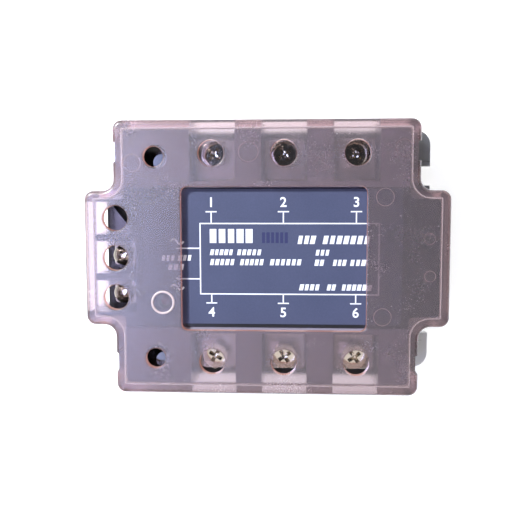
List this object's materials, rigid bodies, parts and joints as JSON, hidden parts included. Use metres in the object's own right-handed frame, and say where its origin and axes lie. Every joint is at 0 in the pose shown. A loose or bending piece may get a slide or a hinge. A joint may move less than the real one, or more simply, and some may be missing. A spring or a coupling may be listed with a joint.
{
  "type": "solid state relay",
  "caption": "Three-phase solid state relay module: slotted heat sink plate, black terminal housing and a translucent clip-on cover with a windowed label panel.",
  "frame": {"origin": "bottom centre of the bounding box, on the heat sink face of the base plate", "axes": "+Z from the heat sink face to the cover's top; +X along the long side, from the control terminals to the plain ear; +Y towards the line terminals"},
  "size_m": [0.1008, 0.0762, 0.0342],
  "materials": {
    "base_plate": "nickel-plated, satin",
    "housing": "fine moulded grain",
    "cover": "frosted smoke-coloured polycarbonate",
    "label": "satin printed film on a plastic panel",
    "plated_steel": "nickel-plated",
    "plated_copper": "nickel-plated copper alloy",
    "board": "solder-masked glass epoxy",
    "ceramic": "alumina with copper pads",
    "silicon": "passivated chip",
    "chip_black": "moulded epoxy",
    "led": "tinted clear resin",
    "capacitor": "dipped epoxy",
    "resistor": "lacquered",
    "potting": "cured epoxy potting"
  },
  "bodies": {
    "base": {"base_plate": "base_plate", "housing": "housing", "label_panel": "label", "line_terminal_1": "plated_copper", "line_terminal_2": "plated_copper", "line_terminal_3": "plated_copper", "load_terminal_1": "plated_copper", "load_terminal_2": "plated_copper", "load_terminal_3": "plated_copper", "control_terminal_1": "plated_copper", "control_terminal_2": "plated_copper", "gate_pin_1": "plated_steel", "gate_pin_2": "plated_steel", "gate_pin_3": "plated_steel", "ceramic_tile_1": "ceramic", "ceramic_tile_2": "ceramic", "ceramic_tile_3": "ceramic", "triac_chip_1": "silicon", "triac_chip_2": "silicon", "triac_chip_3": "silicon", "control_board": "board", "optocoupler_1": "chip_black", "optocoupler_2": "chip_black", "optocoupler_3": "chip_black", "bridge_rectifier": "chip_black", "dropper_capacitor": "capacitor", "dropper_resistor": "resistor", "indicator_led": "led", "potting": "potting"},
    "cover_body": {"cover": "cover"},
    "line_clamp_body_1": {"line_clamp_1": "plated_steel"},
    "line_clamp_body_2": {"line_clamp_2": "plated_steel"},
    "line_clamp_body_3": {"line_clamp_3": "plated_steel"},
    "load_clamp_body_1": {"load_clamp_1": "plated_steel"},
    "load_clamp_body_2": {"load_clamp_2": "plated_steel"},
    "load_clamp_body_3": {"load_clamp_3": "plated_steel"},
    "control_clamp_body_1": {"control_clamp_1": "plated_steel"},
    "control_clamp_body_2": {"control_clamp_2": "plated_steel"},
    "line_screw_body_1": {"line_screw_1": "plated_steel"},
    "line_screw_body_2": {"line_screw_2": "plated_steel"},
    "line_screw_body_3": {"line_screw_3": "plated_steel"},
    "load_screw_body_1": {"load_screw_1": "plated_steel"},
    "load_screw_body_2": {"load_screw_2": "plated_steel"},
    "load_screw_body_3": {"load_screw_3": "plated_steel"},
    "control_screw_body_1": {"control_screw_1": "plated_steel"},
    "control_screw_body_2": {"control_screw_2": "plated_steel"}
  },
  "joints": [
    {"name": "cover_lift", "type": "slide", "parent": "base", "child": "cover_body", "axis": [0, 0, 1], "range_m": [0, 0.045]},
    {"name": "line_rise_1", "type": "slide", "parent": "base", "child": "line_clamp_body_1", "axis": [0, 0, 1], "range_m": [0, 0.0028]},
    {"name": "line_rise_2", "type": "slide", "parent": "base", "child": "line_clamp_body_2", "axis": [0, 0, 1], "range_m": [0, 0.0028]},
    {"name": "line_rise_3", "type": "slide", "parent": "base", "child": "line_clamp_body_3", "axis": [0, 0, 1], "range_m": [0, 0.0028]},
    {"name": "load_rise_1", "type": "slide", "parent": "base", "child": "load_clamp_body_1", "axis": [0, 0, 1], "range_m": [0, 0.0028]},
    {"name": "load_rise_2", "type": "slide", "parent": "base", "child": "load_clamp_body_2", "axis": [0, 0, 1], "range_m": [0, 0.0028]},
    {"name": "load_rise_3", "type": "slide", "parent": "base", "child": "load_clamp_body_3", "axis": [0, 0, 1], "range_m": [0, 0.0028]},
    {"name": "control_rise_1", "type": "slide", "parent": "base", "child": "control_clamp_body_1", "axis": [0, 0, 1], "range_m": [0, 0.0024]},
    {"name": "control_rise_2", "type": "slide", "parent": "base", "child": "control_clamp_body_2", "axis": [0, 0, 1], "range_m": [0, 0.0024]},
    {"name": "line_turn_1", "type": "hinge", "parent": "line_clamp_body_1", "child": "line_screw_body_1", "pos_m": [-0.0149, 0.0289, 0.0226], "axis": [0, 0, 1], "range_deg": [0, 1440]},
    {"name": "line_turn_2", "type": "hinge", "parent": "line_clamp_body_2", "child": "line_screw_body_2", "pos_m": [0.0051, 0.0289, 0.0226], "axis": [0, 0, 1], "range_deg": [0, 1440]},
    {"name": "line_turn_3", "type": "hinge", "parent": "line_clamp_body_3", "child": "line_screw_body_3", "pos_m": [0.0251, 0.0289, 0.0226], "axis": [0, 0, 1], "range_deg": [0, 1440]},
    {"name": "load_turn_1", "type": "hinge", "parent": "load_clamp_body_1", "child": "load_screw_body_1", "pos_m": [-0.0149, -0.0289, 0.0226], "axis": [0, 0, 1], "range_deg": [0, 1440]},
    {"name": "load_turn_2", "type": "hinge", "parent": "load_clamp_body_2", "child": "load_screw_body_2", "pos_m": [0.0051, -0.0289, 0.0226], "axis": [0, 0, 1], "range_deg": [0, 1440]},
    {"name": "load_turn_3", "type": "hinge", "parent": "load_clamp_body_3", "child": "load_screw_body_3", "pos_m": [0.0251, -0.0289, 0.0226], "axis": [0, 0, 1], "range_deg": [0, 1440]},
    {"name": "control_turn_1", "type": "hinge", "parent": "control_clamp_body_1", "child": "control_screw_body_1", "pos_m": [-0.0417, 0.00015, 0.0228], "axis": [0, 0, 1], "range_deg": [0, 1440]},
    {"name": "control_turn_2", "type": "hinge", "parent": "control_clamp_body_2", "child": "control_screw_body_2", "pos_m": [-0.0417, -0.0109, 0.0228], "axis": [0, 0, 1], "range_deg": [0, 1440]}
  ],
  "couplings": [
    {"joint": "line_turn_1", "follows": "line_rise_1", "rad_per_m": 8975.9},
    {"joint": "line_turn_2", "follows": "line_rise_2", "rad_per_m": 8975.9},
    {"joint": "line_turn_3", "follows": "line_rise_3", "rad_per_m": 8975.9},
    {"joint": "load_turn_1", "follows": "load_rise_1", "rad_per_m": 8975.9},
    {"joint": "load_turn_2", "follows": "load_rise_2", "rad_per_m": 8975.9},
    {"joint": "load_turn_3", "follows": "load_rise_3", "rad_per_m": 8975.9},
    {"joint": "control_turn_1", "follows": "control_rise_1", "rad_per_m": 10472},
    {"joint": "control_turn_2", "follows": "control_rise_2", "rad_per_m": 10472}
  ]
}
